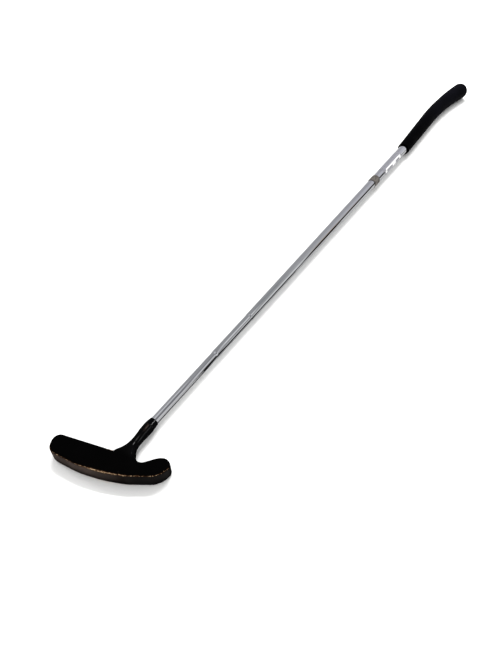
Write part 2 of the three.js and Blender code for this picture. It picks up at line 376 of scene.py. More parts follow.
def new_group(name, inputs, outputs):
    """An empty node group; an input is given by its first value, or by None for a place."""
    group = bpy.data.node_groups.new(name, "ShaderNodeTree")
    for socket, value in inputs.items():
        kind = "NodeSocketFloat" if isinstance(value, float) else "NodeSocketVector"
        made = group.interface.new_socket(socket, in_out="INPUT", socket_type=kind)
        if value is not None:
            made.default_value = value
    for socket in outputs:
        group.interface.new_socket(socket, in_out="OUTPUT", socket_type="NodeSocketFloat")
    print(f"group {name}: from {', '.join(inputs)} to {', '.join(outputs)}")
    entry = outputs_of(group.nodes.new("NodeGroupInput"))
    return group, entry, group.nodes.new("NodeGroupOutput")


def use(group, **inputs):
    """Outputs of a group placed beside its inputs; _ stands for a space in their names."""
    named = {name.replace("_", " "): value for name, value in inputs.items()}
    tree = next(value.tree for value in inputs.values() if isinstance(value, Value))
    return add_node(tree, "Group", named, node_tree=group)


# %% [markdown]
# ## Patches
# No real surface has one even colour. Paint thins, rubber dries and chrome hazes in patches of
# every size. This group gives a slow drift with a finer one on top, as one value between 0 and 1.

# %% Patches group
patches, entry, leave = new_group(
    "patches", {"Place": None, "Size": 0.02, "Contrast": 1.0}, ["Value"])
frequency = 1.0 / entry["Size"]
fine_scale, fine_part = 6.3, 0.35
slow = noise_value(entry["Place"], frequency, 2.0)
fine = noise_value(entry["Place"], frequency * fine_scale, 4.0)
both = fine * fine_part + slow * (1 - fine_part)
spread = (both - 0.5) * entry["Contrast"] + 0.5
wire(leave, {"Value": add_node(patches, "Clamp", {"Value": spread})[0]})

# %% [markdown]
# ## Grain
# Cast metal under paint has a faint orange peel, and moulded rubber and tape have a tight grain.
# Both are the same thing at another scale: fine noise with small pits in it. The group puts out a
# height for a Bump node, and the pits by themselves, because dirt settles in them.

# %% Grain group
grain, entry, leave = new_group(
    "grain", {"Place": None, "Size": 0.0006, "Pits": 0.3}, ["Height", "Pits"])
frequency = 1.0 / entry["Size"]
peel = noise_value(entry["Place"], frequency, 3.0, 0.6)
cells = add_node(grain, "TexVoronoi", {"Vector": entry["Place"], "Scale": frequency * 0.45})
pits = soft_range(cells["Distance"], 0.05, 0.22, 1.0, 0.0)
rare = soft_range(noise_value(entry["Place"], frequency * 0.1), 0.5, 0.62)
sunk = pits * rare * entry["Pits"]
wire(leave, {"Height": peel - sunk, "Pits": sunk})

# %% [markdown]
# ## Scratches
# A club is pulled in and out of a bag for years, so its shaft and paint carry fine scratches. They
# run mostly one way, so the noise is stretched along that way before only its thin crests are kept.

# %% Scratches group
scratches, entry, leave = new_group(
    "scratches",
    {"Place": None, "Stretch": (900.0, 40.0, 900.0), "Width": 0.03, "Amount": 0.5}, ["Mask"])
combed = noise_value(stretched(entry["Place"], entry["Stretch"]), 1.0, 1.5)
crest = calc("ABSOLUTE", combed - 0.5)
lines = soft_range(crest / entry["Width"], 0.2, 1.0, 1.0, 0.0)
where = noise_value(entry["Place"], 55.0, 2.0)
kept = soft_range(where + entry["Amount"], 0.85, 1.1)
wire(leave, {"Mask": lines * kept})

# %% [markdown]
# ## Edge wear
# Paint goes first where an edge rubs. The mesh tells how near each point is to an edge, and noise
# breaks that even band into chips and runs. The group puts out two masks: thin paint, where the
# metal only glows through, and bare metal, which finer noise breaks into specks along the crest of
# the same marks.

# %% Edge wear group
edge_wear, entry, leave = new_group(
    "edge_wear",
    {"Edge": 0.0, "Place": None, "Amount": 0.5, "Chip Size": 0.002, "Ragged": 0.4},
    ["Thin", "Bare"])
frequency = 1.0 / entry["Chip Size"]
chips = noise_value(entry["Place"], frequency, 4.0, 0.65)
broken = (chips - 0.5) * entry["Ragged"]
level = entry["Edge"] + broken * 2.0 + (entry["Amount"] - 1.0)
specks = noise_value(entry["Place"], frequency * 1.7, 2.0)
wire(leave, {
    "Thin": soft_range(level, -0.30, 0.30),
    "Bare": soft_range((specks - 0.5) * 2.2 + level, 0.24, 0.42),
})

# %% [markdown]
# ## Dust
# Small pale specks lie on everything that is black. They are the smallest cells of a Voronoi
# texture, kept only where a slower noise allows them, so that they gather instead of tiling.

# %% Dust group
dust, entry, leave = new_group(
    "dust", {"Place": None, "Spacing": 0.004, "Speck": 0.08, "Amount": 0.3}, ["Mask"])
cells = add_node(dust, "TexVoronoi", {"Vector": entry["Place"], "Scale": 1.0 / entry["Spacing"]})
specks = soft_range(cells["Distance"] / entry["Speck"], 0.6, 1.0, 1.0, 0.0)
chance = add_node(dust, "SeparateColor", {0: cells["Color"]})[0]
wire(leave, {"Mask": specks * calc("LESS_THAN", chance, entry["Amount"])})


def dust_on(color, share, dust_color, **numbers):
    """A colour with specks of dust over it."""
    return blend(use(dust, **numbers)["Mask"] * share, color, dust_color)


# %% [markdown]
# ## Finish of the head
# The head is cast in brass and painted black. The paint is nearly matt on the two faces and glossy
# on the neck. Along the edge between face and sole it has worn brown and then down to the brass,
# most of all in the middle of the sole, where the club touches the ground. The numbers that steer
# this, from edge to band, are written on the mesh further down.

# %% Head material
# Wear of the lower edge by the share of the way from toe to heel
wear_along = [(0.00, 0.06), (0.08, 0.00), (0.15, 0.15), (0.36, 0.10), (0.43, 0.42), (0.58, 0.44),
              (0.63, 0.28), (0.76, 0.24), (0.85, 0.12), (0.92, 0.20), (1.00, 0.08)]
# Brown of the thinner sole paint, which also holds a painted reflection of the floor
brown_sole_and_sheen = (0.100, 0.078, 0.068)
# Brown of the mark under the hosel's rim: partly rubbed paint, partly a painted sheen
rim_brown_and_sheen = (0.030, 0.017, 0.012)

head_material, shader = new_material(
    "worn_black_paint", IOR=1.5, Specular_IOR_Level=0.008, Coat_IOR=1.45, Coat_Roughness=0.09)
place = own_place(shader)
edge, sole_side, from_toe, neck, rim_wear_and_sheen, band = (
    attribute(shader, name) for name in
    ("edge", "sole_side", "from_toe", "neck", "rim_wear_and_sheen", "band"))
drift = use(patches, Place=place, Size=0.012, Contrast=1.4)["Value"]
runs = use(patches, Place=place, Size=0.007, Contrast=3.0)["Value"]
# The lower edge is worn all along, most of all before the middle; the top line is worn in one spot
low_edge = soft_range(sole_side, 0.38, 0.62)
along_edge = color_ramp(from_toe, wear_along)
low_wear = ((runs - 0.5) * 0.16 + along_edge) * low_edge
top_rub = between(from_toe, 0.452, 0.515, 0.008) * soft_range(sole_side, 0.2, 0.1)
spared = 1.0 - calc("MAXIMUM", low_edge, top_rub)
amount = calc("MAXIMUM", low_wear, top_rub * 0.30) - spared * 0.6
wear = use(edge_wear, Edge=edge, Place=place, Amount=amount, Chip_Size=0.0014, Ragged=0.60)
color = blend(drift, 0.0007, (0.0019, 0.0017, 0.0018))
# The sole shows a thinner, browner paint towards the toe, and a painted reflection of the bright
# floor that is strongest on its upper part and weakest next to the floor
thin_sole_and_sheen = (band * soft_range(from_toe, 0.35, 0.80, 1.0, 0.10)
             * soft_range(split(place)["Z"], 3 * MM, 12 * MM, 0.30, 1.0)
             * (drift * 0.7 + 0.3))
color = blend(thin_sole_and_sheen, color, brown_sole_and_sheen)
# Brown mark under the hosel's rim, facing up and to the heel: part rubbed paint, part painted sheen
color = blend(rim_wear_and_sheen * soft_range(drift, 0.35, 0.75), color, rim_brown_and_sheen)
undercoat = blend(drift, (0.030, 0.012, 0.006), (0.090, 0.042, 0.018))
brass = blend(drift, (0.46, 0.28, 0.14), (0.80, 0.66, 0.46))
color = blend(wear["Bare"], blend(wear["Thin"], color, undercoat), brass)
color = dust_on(color, 0.3, (0.30, 0.29, 0.27),
                Place=place, Spacing=0.0035, Speck=0.05, Amount=0.10)
# The coat of gloss is left on the neck and towards the heel of the sole
gloss = neck * 0.12 + band * soft_range(from_toe, 0.35, 0.85) * 0.12
scored = use(scratches, Place=place, Stretch=(160.0, 700.0, 700.0),
             Width=0.05, Amount=0.35)["Mask"]
rough = scored * 0.10 + soft_range(drift, 0, 1, 0.42, 0.60) - wear["Bare"] * 0.12
wire(shader, {"Base Color": color, "Metallic": wear["Bare"] * 0.7, "Coat Weight": gloss,
              "Roughness": rough})
peel = use(grain, Place=place, Size=0.0016, Pits=0.6)["Height"]
bump(shader, peel - wear["Thin"] * 0.8 - scored * 0.25, 0.05 * MM)

# %% [markdown]
# ## Finish of the ferrule
# The ferrule is a small collar of black plastic, polished with the shaft. It keeps a deep gloss
# with a few handling marks round it and a little dust.

# %% Ferrule material
ferrule_material, shader = new_material("polished_black_plastic", IOR=1.49, Specular_IOR_Level=0.05)
place = attribute(shader, "straight", "Vector")
drift = use(patches, Place=place, Size=0.006, Contrast=1.2)["Value"]
color = blend(drift, (0.0010, 0.0010, 0.0012), (0.0025, 0.0024, 0.0026))
color = dust_on(color, 0.35, (0.32, 0.31, 0.30),
                Place=place, Spacing=0.0022, Speck=0.06, Amount=0.12)
marks = use(scratches, Place=place, Stretch=(300.0, 1500.0, 300.0),
            Width=0.06, Amount=0.45)["Mask"]
wire(shader, {"Base Color": color,
              "Roughness": marks * 0.12 + soft_range(drift, 0, 1, 0.08, 0.14)})
height = use(grain, Place=place, Size=0.002, Pits=0.2)["Height"]
bump(shader, height - marks * 0.4, 0.02 * MM)

# %% [markdown]
# ## Finish of the shaft
# The shaft is a steel tube, polished and chromed. Chrome has almost no colour of its own: it shows
# the room. What makes it look used is a haze of fine lengthwise scratches, a few dull patches and
# tiny brown pits where rust has come through the plating.

# %% Chrome material
chrome_material, shader = new_material("used_chrome", Metallic=1.0)
place = attribute(shader, "straight", "Vector")
haze = use(patches, Place=stretched(place, (1.0, 0.3, 1.0)), Size=0.012, Contrast=1.6)["Value"]
lines = use(scratches, Place=place, Stretch=(1400.0, 30.0, 1400.0),
            Width=0.05, Amount=0.42)["Mask"]
rust = use(dust, Place=place, Spacing=0.005, Speck=0.07, Amount=0.22)["Mask"]
color = blend(haze, (0.525, 0.53, 0.545), (0.475, 0.48, 0.495))
color = blend(lines * 0.35, color, (0.34, 0.34, 0.355))
color = blend(rust, color, (0.16, 0.10, 0.06))
rough = soft_range(haze, 0.1, 0.9, 0.02, 0.06) + lines * 0.05 + rust * 0.40
wire(shader, {"Base Color": color, "Roughness": rough})
bump(shader, lines * -0.5 - rust, 0.001 * MM)

# %% [markdown]
# ## Finish of the tape ring
# A ring of cloth tape was wound on the shaft below the grip and has gone brown and grey with dirt.
# The weave is two sets of fine waves at right angles, and the dirt is darkest along the edges.

# %% Tape material
weft_pitch = 0.45 * MM
warp_threads = 260

tape_material, shader = new_material("dirty_cloth_tape", Metallic=0.0)
place = attribute(shader, "straight", "Vector")
warp = calc("SINE", attribute(shader, "turn") * warp_threads)
weft = calc("SINE", split(place)["Y"] * (2 * math.pi / weft_pitch))
weave = warp * 0.5 + weft * 0.5
drift = use(patches, Place=place, Size=0.0045, Contrast=3.2)["Value"]
color = blend(drift, (0.050, 0.045, 0.040), (0.250, 0.230, 0.210))
dirty = soft_range(attribute(shader, "rim"), 0.55, 1.0) * 0.55
color = blend(dirty, color, (0.050, 0.043, 0.036))
color = blend((1.0 - weave) * 0.12, color, (0.03, 0.026, 0.022))
color = dust_on(color, 0.5, (0.34, 0.30, 0.26),
                Place=place, Spacing=0.0016, Speck=0.25, Amount=0.4)
wire(shader, {"Base Color": color, "Roughness": soft_range(drift, 0, 1, 0.70, 0.92)})
fuzz = use(grain, Place=place, Size=0.0007, Pits=0.5)["Height"]
bump(shader, fuzz * 1.4 + weave, 0.06 * MM)

# %% [markdown]
# ## Finish of the label
# Below the grip the shaft wears a thin printed film. It is silvery, duller than the chrome, and has
# a plain white stripe with blocks beside it. The print is worked out from two numbers on the mesh:
# the angle round the shaft and the distance along it.

# %% Label material
label_place = 520 * MM
label_length = 57 * MM
stripe_angles = (37, 56)         # degrees up from the heel side
block_angles = (6, 37)
stripe_reach = (0.12, 0.96)      # shares of the label's length
block_reaches = [(0.06, 0.15), (0.47, 0.66), (0.88, 0.96)]

label_material, shader = new_material("printed_silver_film", IOR=1.45)
place = attribute(shader, "straight", "Vector")
parts = split(place)
wander = noise_value(place, 900.0) - 0.5
angle = wander * 5.0 + calc("DEGREES", calc("ARCTAN2", parts["Z"], parts["X"]))
share = wander * 0.012 + (parts["Y"] - label_place) / label_length
stripe = between(angle, *stripe_angles, 1.5) * between(share, *stripe_reach, 0.006)
blocks = 0.0
for reach in block_reaches:
    blocks = calc("MAXIMUM", between(share, *reach, 0.006), blocks)
printed = calc("MAXIMUM", stripe, blocks * between(angle, *block_angles, 1.5))
drift = use(patches, Place=place, Size=0.006, Contrast=1.8)["Value"]
rubbed = use(scratches, Place=place, Stretch=(1100.0, 60.0, 1100.0),
             Width=0.07, Amount=0.38)["Mask"]
ink = printed * (1.0 - rubbed * 0.5)
foil = blend(drift, (0.46, 0.46, 0.485), (0.40, 0.40, 0.425))
wire(shader, {
    "Base Color": blend(ink, foil, (0.86, 0.86, 0.85)),
    "Metallic": 0.85 - ink * 0.85,
    "Roughness": soft_range(drift, 0, 1, 0.24, 0.36) + rubbed * 0.10 + ink * 0.12,
})
ripple = use(grain, Place=place, Size=0.003, Pits=0.2)["Height"]
bump(shader, ink * 0.3 + ripple, 0.03 * MM)

# %% [markdown]
# ## Finish of the rubber
# The grip is moulded rubber, dull black with a hint of blue. Hands have polished it in places and
# the dried-out places have gone greyer; towards the butt they carry a lighter, bluer painted sheen.
# The grip and its cap share one recipe with their own numbers.

# %% Rubber material
def rubber_finish(name, patch_size, polish):
    material, shader = new_material(name, IOR=1.45, Specular_IOR_Level=0.03)
    place = attribute(shader, "straight", "Vector")
    drift = use(patches, Place=place, Size=patch_size, Contrast=1.8)["Value"]
    fine = use(grain, Place=place, Size=0.00055, Pits=0.5)
    # The dried-out patches turn lighter and bluer towards the butt: a painted sheen
    butt_sheen = soft_range(split(place)["Y"], grip_place + 50 * MM, grip_end - 50 * MM)
    dry_and_sheen = blend(butt_sheen, (0.0016, 0.0016, 0.0022), (0.0095, 0.0095, 0.0140))
    color = blend(drift, (0.0005, 0.0005, 0.0008), dry_and_sheen)
    color = blend(fine["Pits"] * 0.5, color, (0.020, 0.020, 0.021))
    color = dust_on(color, 0.25, 0.20,
                    Place=place, Spacing=0.0042, Speck=0.05, Amount=0.14)
    wire(shader, {"Base Color": color,
                  "Roughness": soft_range(drift, 0.2, 0.9, 0.62 - polish, 0.80)})
    bump(shader, fine["Height"], 0.06 * MM)
    return material


grip_material = rubber_finish("moulded_black_rubber", 0.030, 0.06)
cap_material = rubber_finish("moulded_cap_rubber", 0.010, 0.02)

# %% [markdown]
# ## Finishes inside the club
# The glue in the socket and the tape under the grip are hidden when the club is whole, but the part
# can be taken apart, so they are finished too: amber glue with small bubbles, and creamy crepe tape
# with its fine cross ripples.

# %% Inner materials
glue, shader = new_material("cured_glue", IOR=1.5, Transmission_Weight=0.15)
place = own_place(shader)
drift = use(patches, Place=place, Size=0.004, Contrast=1.5)["Value"]
bubbles = use(dust, Place=place, Spacing=0.0012, Speck=0.25, Amount=0.3)["Mask"]
amber = blend(drift, (0.56, 0.42, 0.20), (0.70, 0.60, 0.38))
wire(shader, {"Base Color": blend(bubbles * 0.4, amber, (0.85, 0.80, 0.66)),
              "Roughness": soft_range(drift, 0, 1, 0.25, 0.45)})
height = use(grain, Place=place, Size=0.001, Pits=0.8)["Height"]
bump(shader, height - bubbles, 0.05 * MM)

under_tape, shader = new_material("crepe_under_tape")
place = own_place(shader)
drift = use(patches, Place=place, Size=0.010, Contrast=1.5)["Value"]
ripples = noise_value(stretched(place, (150.0, 1800.0, 150.0)), 1.0, 2.0)
cream = blend(drift, (0.60, 0.50, 0.32), (0.74, 0.66, 0.48))
# The valleys of the ripples are painted a deeper brown: painted shade
fold_shade = soft_range(ripples, 0.3, 0.7, 0.25, 0.0)
wire(shader, {"Base Color": blend(fold_shade, cream, (0.42, 0.33, 0.20)),
              "Roughness": soft_range(ripples, 0.3, 0.7, 0.80, 0.95)})
fibre = use(grain, Place=place, Size=0.0004, Pits=0.3)["Height"]
bump(shader, fibre * 0.4 + ripples, 0.08 * MM)

inner_finishes = {"epoxy_bond": glue, "grip_tape": under_tape}
for node_name, material in inner_finishes.items():
    node_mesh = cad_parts[node_name].data
    node_mesh.materials.clear()
    node_mesh.materials.append(material)
print("inner nodes finished:", ", ".join(inner_finishes))

# %% [markdown]
# ## The blade
# The blade is drawn in its own frame: X along the top line, Y up, Z through its thickness. Its
# outline is one smooth curve: down round the toe, along the rockered sole, up round the heel and
# down into the crook by the neck. The curve is swept through the thickness with a rounded edge on
# both faces, tighter along the top line than along the sole, which years of play have softened.

# %% Blade outline
head_length = 120.4 * MM
blade_height = 25.5 * MM
sole_width = 20 * MM
top_line_width = 17.6 * MM
sole_camber = 1.5 * MM
top_edge_radius = 1.7 * MM
sole_edge_radius = 2.1 * MM
heel_softening = 0.6
soft_heel_from = 0.93
paint_loss = 0.08 * MM
toe_reach_share = 0.5748
top_line_share = (0.049, 0.631)
outline_shares = [
    (0.027, -0.047), (0.003, -0.186), (0.000, -0.397), (0.011, -0.598), (0.033, -0.740),
    (0.077, -0.838), (0.168, -0.916), (0.296, -0.992), (0.424, -0.996), (0.543, -0.965),
    (0.701, -0.851), (0.789, -0.727), (0.895, -0.566), (0.934, -0.453), (0.966, -0.312),
    (0.988, -0.146), (1.000, 0.016), (0.991, 0.161), (0.965, 0.278), (0.935, 0.322),
    (0.906, 0.302), (0.875, 0.239), (0.843, 0.133), (0.808, -0.004), (0.776, -0.108),
    (0.750, -0.126), (0.728, -0.094), (0.712, -0.026), (0.695, 0.040),
]


def smooth_through(points, steps):
    """Points on one smooth curve through the given ones, the given ones included."""
    points = np.array(points, float)
    padded = np.vstack([points[:1], points, points[-1:]])
    slopes = (padded[2:] - padded[:-2]) / 2
    t = (np.arange(steps) / steps)[:, None]
    a, b, leave_a, reach_b = (v[:, None] for v in (points[:-1], points[1:],
                                                   slopes[:-1], slopes[1:]))
    curve = ((2 * t**3 - 3 * t**2 + 1) * a + (t**3 - 2 * t**2 + t) * leave_a
             + (3 * t**2 - 2 * t**3) * b + (t**3 - t**2) * reach_b)
    return np.vstack([curve.reshape(-1, points.shape[1]), points[-1:]])


def even_out(closed, spacing, rounds):
    """An evenly spaced, softened closed line; the second step undoes the shrinking of the first."""
    looped = np.vstack([closed, closed[:1]])
    walked = np.concatenate([[0], np.cumsum(np.linalg.norm(np.diff(looped, axis=0), axis=1))])
    spots = np.linspace(0, walked[-1], round(walked[-1] / spacing), endpoint=False)
    line = np.stack([np.interp(spots, walked, axis) for axis in looped.T], axis=1)
    for _ in range(rounds):
        for push in (0.50, -0.52):
            middle = (np.roll(line, 1, axis=0) + np.roll(line, -1, axis=0)) / 2
            line += push * (middle - line)
    return line


# The closed outline in the blade's own frame, against the clock
toe_end = (top_line_share[0], 0.0)
curved = smooth_through([toe_end] + outline_shares, 12)
straight = np.linspace((top_line_share[1], 0.0), toe_end, 80)[:-1]
shares = np.concatenate([curved, straight])
corners = np.stack([head_length * (shares[:, 0] - toe_reach_share),
                    blade_height * shares[:, 1]], axis=1)
outline = even_out(corners, 0.8 * MM, 120)
print(f"blade outline: {len(outline)} points")

# %% [markdown]
# ## Skin of the blade
# The outline is swept up through the thickness in rings. Near each face the rings step in along a
# quarter circle, which rounds the edge, and the rounding grows towards the heel, where the club
# rubs in the bag. The sole bulges a little between its edges, and the blade gets thinner towards
# its top line. All of it is one block of points, so each of these is a line of arithmetic.

# %% Blade skin
head_place = Matrix.Translation((axis_start.x, axis_start.y, 0))
axis_to_top_line = 48.6 * MM
top_line_lean = math.radians(16)
blade_frame = (head_place @ Matrix.Translation((0, -axis_to_top_line, 0))
               @ Matrix.Rotation(top_line_lean, 4, "Z"))


def moved(points, matrix):
    """Many points through one matrix."""
    matrix = np.array(matrix)
    return points @ matrix[:3, :3].T + matrix[:3, 3]


def blade_skin():
    """Rings of the blade from its lower face to its upper one."""
    ahead = np.roll(outline, -1, axis=0) - np.roll(outline, 1, axis=0)
    outward = np.stack([ahead[:, 1], -ahead[:, 0]], axis=1)
    outward /= np.linalg.norm(outward, axis=1)[:, None]
    down = np.clip(-outline[:, 1] / blade_height, 0, 1)
    radius = mix(top_edge_radius, sole_edge_radius, down)
    place = outline[:, 0] / head_length + toe_reach_share
    radius *= 1 + heel_softening * smooth_step(soft_heel_from, 1.0, place)
    angles = np.radians(np.linspace(0, 90, 9))
    steps = [(1 - math.sin(a), 1 - math.cos(a), 0) for a in angles]
    steps += [(inset, -rise, 1) for inset, rise, _ in reversed(steps)]
    rings = []
    for inset, rise, face in steps:
        flat = outline - outward * (radius * inset + paint_loss)[:, None]
        height = face * sole_width + radius * rise + (1 - 2 * face) * paint_loss
        rings.append(np.column_stack([flat, height]))
    points = np.concatenate(rings)
    sink = -points[:, 1] / blade_height
    across = 2 * points[:, 2] / sole_width - 1
    points[:, 1] -= sole_camber * np.clip(sink, 0, None) ** 2 * (1 - across**2)
    points[:, 2] *= mix(top_line_width, sole_width, sink) / sole_width
    return moved(points, blade_frame), ring_faces(len(rings), len(outline), closed=False)


# %% [markdown]
# ## The neck
# The neck is part of the same casting. It starts round at the hosel, narrows to a waist and then
# spreads into the blade, more to the heel than to the toe. Each row below is one section of it, and
# smooth curves through the rows fill in the rest.

# %% Neck sections
hosel_radius = 6.05 * MM
ferrule_length = 8 * MM
neck_root_depth = 7.2 * MM
neck_root_inset = 0.55 * MM
# Reach to the toe, reach to the heel and depth as shares of the hosel's radius,
# share of the depth that is the blade's, and squareness
neck_section_shares = [
    (0.965, 1.000, 0.970, 0.00, 2.0), (0.930, 1.030, 0.970, 0.00, 2.0),
    (0.910, 1.020, 0.920, 0.00, 2.0), (0.810, 1.000, 0.860, 0.00, 2.0),
    (0.750, 1.000, 0.800, 0.00, 2.0), (0.710, 1.020, 0.770, 0.00, 2.0),
    (0.710, 1.090, 0.800, 0.00, 2.1), (0.730, 1.270, 0.800, 0.22, 2.3),
    (0.830, 1.740, 0.800, 0.52, 2.7), (1.040, 2.360, 0.800, 0.80, 3.3),
    (1.320, 3.100, 0.800, 0.96, 4.0), (1.450, 3.600, 0.800, 1.00, 4.0),
    (1.300, 3.400, 0.800, 1.00, 4.0),
]


def neck_skin(sides=96, steps=8):
    """Rings of the neck from its root in the blade up to the hosel's rim."""
    rows = smooth_through(neck_section_shares, steps)[::-1]
    rim, root_end = -ferrule_length, -axis_to_top_line - neck_root_depth
    angles = np.arange(sides) * (2 * math.pi / sides)
    root_half = top_line_width / 2 - neck_root_inset
    rings = []
    for share, (toe, heel, depth, merged, square) in zip(np.linspace(1, 0, len(rows)), rows):
        x, z = np.cos(angles), np.sin(angles)
        reach = np.where(x < 0, toe, heel) * hosel_radius
        half = mix(hosel_radius * depth, root_half, merged)
        rings.append(np.column_stack([
            np.sign(x) * np.abs(x) ** (2 / square) * reach,
            np.full(sides, mix(rim, root_end, share)),
            np.sign(z) * np.abs(z) ** (2 / square) * half,
        ]))
    return moved(np.concatenate(rings), shaft_frame), ring_faces(len(rings), sides, closed=False)


# %% [markdown]
# ## Joining blade and neck
# The two closed skins overlap. A voxel remesh keeps only their common outside and covers it with
# small even faces, the way a sculptor would fuse two lumps of clay. The fine faces then let the
# crease between neck and blade be smoothed into the fillet that a casting has: only hollow creases
# are relaxed, so the flat faces and the rounded edges stay exactly where they are.

# %% Fuse and fillet
voxel = 0.42 * MM
fillet_reach = 4.2 * MM
fillet_rounds = 110
fillet_push, root_push = 0.7, 0.6
crease_gain = 20               # the higher, the shallower a hollow still counts as a crease
crease_blur = 8


def apply_modifiers(piece):
    """Replaces a piece's mesh by what its modifiers make of it."""
    graph = bpy.context.evaluated_depsgraph_get()
    made = bpy.data.meshes.new_from_object(piece.evaluated_get(graph))
    piece.modifiers.clear()
    piece.data = made


def read_vectors(items, name):
    """A table with a row of three numbers for each item of a mesh."""
    table = np.empty(len(items) * 3)
    items.foreach_get(name, table)
    return table.reshape(-1, 3)


def read_skin(mesh):
    """Points and normals of a mesh."""
    return read_vectors(mesh.vertices, "co"), read_vectors(mesh.vertex_normals, "vector")


def write_points(mesh, points):
    mesh.vertices.foreach_set("co", points.astype(np.float32).ravel())
    mesh.update()


def neighbour_rules(mesh):
    """Two functions of per-point values: the mean over neighbours and the largest of them."""
    edges = np.empty(len(mesh.edges) * 2, int)
    mesh.edges.foreach_get("vertices", edges)
    a, b = edges.reshape(-1, 2).T
    count = len(mesh.vertices)
    degree = np.bincount(a, minlength=count) + np.bincount(b, minlength=count)

    def average(values):
        table = values.reshape(count, -1)
        total = np.stack([
            np.bincount(a, column[b], count) + np.bincount(b, column[a], count)
            for column in table.T
        ], axis=1) / degree[:, None]
        return total.reshape(values.shape)

    def widen(values):
        wider = values.copy()
        np.maximum.at(wider, a, values[b])
        np.maximum.at(wider, b, values[a])
        return wider

    return average, widen


blade_points, blade_faces = blade_skin()
neck_points, neck_faces = neck_skin()
shifted_faces = [tuple(i + len(blade_points) for i in face) for face in neck_faces]
head = mesh_object("head", np.concatenate([blade_points, neck_points]),
                   blade_faces + shifted_faces)
remesh = head.modifiers.new("fuse", "REMESH")
remesh.mode = "VOXEL"
remesh.voxel_size = voxel
apply_modifiers(head)

average, widen = neighbour_rules(head.data)
points, normals = read_skin(head.data)
outward_pull = np.einsum("ij,ij->i", average(points) - points, normals)
crease = np.clip(outward_pull / voxel * crease_gain - 1, 0, 1)
for _ in range(round(fillet_reach / voxel)):
    crease = widen(crease)
for _ in range(crease_blur):
    crease = average(crease)
for _ in range(fillet_rounds):
    normals = read_skin(head.data)[1]
    pull = average(points) - points
    lift = np.einsum("ij,ij->i", pull, normals)[:, None]
    pull -= normals * np.minimum(lift, 0)
    points += fillet_push * crease[:, None] * pull
    write_points(head.data, points)
# The root of the neck is blended both ways, so that no ledge is left on the faces
on_axis = moved(points, shaft_frame.inverted()) / MM
root_zone = (smooth_step(-58, -54, on_axis[:, 1]) * smooth_step(-40, -44, on_axis[:, 1])
             * smooth_step(-6, -1, on_axis[:, 0]) * smooth_step(22, 16, on_axis[:, 0]))
for _ in range(fillet_rounds):
    points += root_push * root_zone[:, None] * (average(points) - points)
write_points(head.data, points)
print(f"fused head: {len(points)} points, {int((crease > 0.5).sum())} of them in fillets")

# %% [markdown]
# ## Sight groove, socket and dents
# A shallow round groove crosses the top line above the middle of the head to help with aim. It is
# pressed straight into the mesh. The socket for the shaft is bored with a boolean cut, which leaves
# its rim crisp. Last, the worn edge gets the small dents that metal takes and a drawing does not.

# %% Cut the head
groove_radius = 1.1 * MM
groove_depth = 0.7 * MM
groove_share = 0.458
socket_depth = 11.5 * MM
socket_radius = 5.0 * MM
socket_point = 2.2 * MM
overrun = 2 * MM
dent_depth = 0.4 * MM          # where the noise is 1 above the dents' threshold
dent_size = 3.2 * MM
dent_threshold = 0.12


def to_blade(points):
    return moved(points, blade_frame.inverted())


def press_groove(points):
    """Lowers the top line to the floor of the groove."""
    local = to_blade(points)
    aside = local[:, 0] - head_length * (groove_share - toe_reach_share)
    inside = np.clip(groove_radius**2 - aside**2, 0, None)
    floor = groove_radius - groove_depth - np.sqrt(inside)
    cut = (np.abs(aside) < groove_radius) & (local[:, 1] > floor)
    local[cut, 1] = floor[cut]
    return moved(local, blade_frame)


def edge_numbers(points, normals):
    """What the material needs to know at each point of the head, all between 0 and 1."""
    turn = np.array(blade_frame.inverted())[:3, :3]
    local, facing = to_blade(points), normals @ turn.T
    on_axis = moved(points, shaft_frame.inverted())
    tip = np.degrees(np.arcsin(np.clip(np.abs(facing[:, 2]), 0, 1)))
    flat = np.linalg.norm(facing[:, :2], axis=1) + 1e-9
    sole_side = 0.5 - 0.5 * facing[:, 1] / flat
    rise = smooth_step(-axis_to_top_line - 1 * MM, -axis_to_top_line + 7 * MM, on_axis[:, 1])
    neck = rise * smooth_step(16 * MM, 11 * MM, on_axis[:, 0])
    # Normals facing up and a little to the heel, where the brown mark under the rim is partly
    # painted sheen
    on_top = (smooth_step(0.34, 0.06, np.abs(facing[:, 0] - 0.14))
              * smooth_step(0, 0.5, facing[:, 2]))
    return {
        "edge": (1 - np.abs(tip - 45) / 45) * (1 - neck),
        "sole_side": sole_side,
        "from_toe": local[:, 0] / head_length + toe_reach_share,
        "neck": neck,
        "rim_wear_and_sheen": smooth_step(-19 * MM, -12 * MM, on_axis[:, 1]) * on_top,
        "band": smooth_step(50, 20, tip) * smooth_step(0.55, 0.75, sole_side) * (1 - neck),
    }


points, normals = read_skin(head.data)
points = press_groove(points)
numbers = edge_numbers(points, normals)
knocks = np.array([noise.noise(Vector(p) / dent_size) for p in points])
knocks = np.clip(knocks - dent_threshold, 0, 1) * numbers["edge"]
knocks *= smooth_step(0.35, 0.7, numbers["sole_side"])
write_points(head.data, points - normals * (knocks * dent_depth)[:, None])

socket_profile = [(socket_radius, overrun - ferrule_length),
                  (socket_radius, -ferrule_length - socket_depth),
                  (0.02 * MM, -ferrule_length - socket_depth - socket_point)]
bore = turned_piece("bore", socket_profile[::-1], sides=64, closed=False)
cut = head.modifiers.new("socket", "BOOLEAN")
cut.operation = "DIFFERENCE"
cut.solver = "EXACT"
cut.object = bore
apply_modifiers(head)
bpy.data.objects.remove(bore)

for name, values in edge_numbers(*read_skin(head.data)).items():
    write_attribute(head.data, name, values)
head.data.shade_smooth()
dress(head, "head_casting", head_material)

# %% [markdown]
# ## The ferrule
# The ferrule hides the joint between hosel and shaft. It tapers from the hosel's width to the
# shaft's, with a small rounded lip at the top.

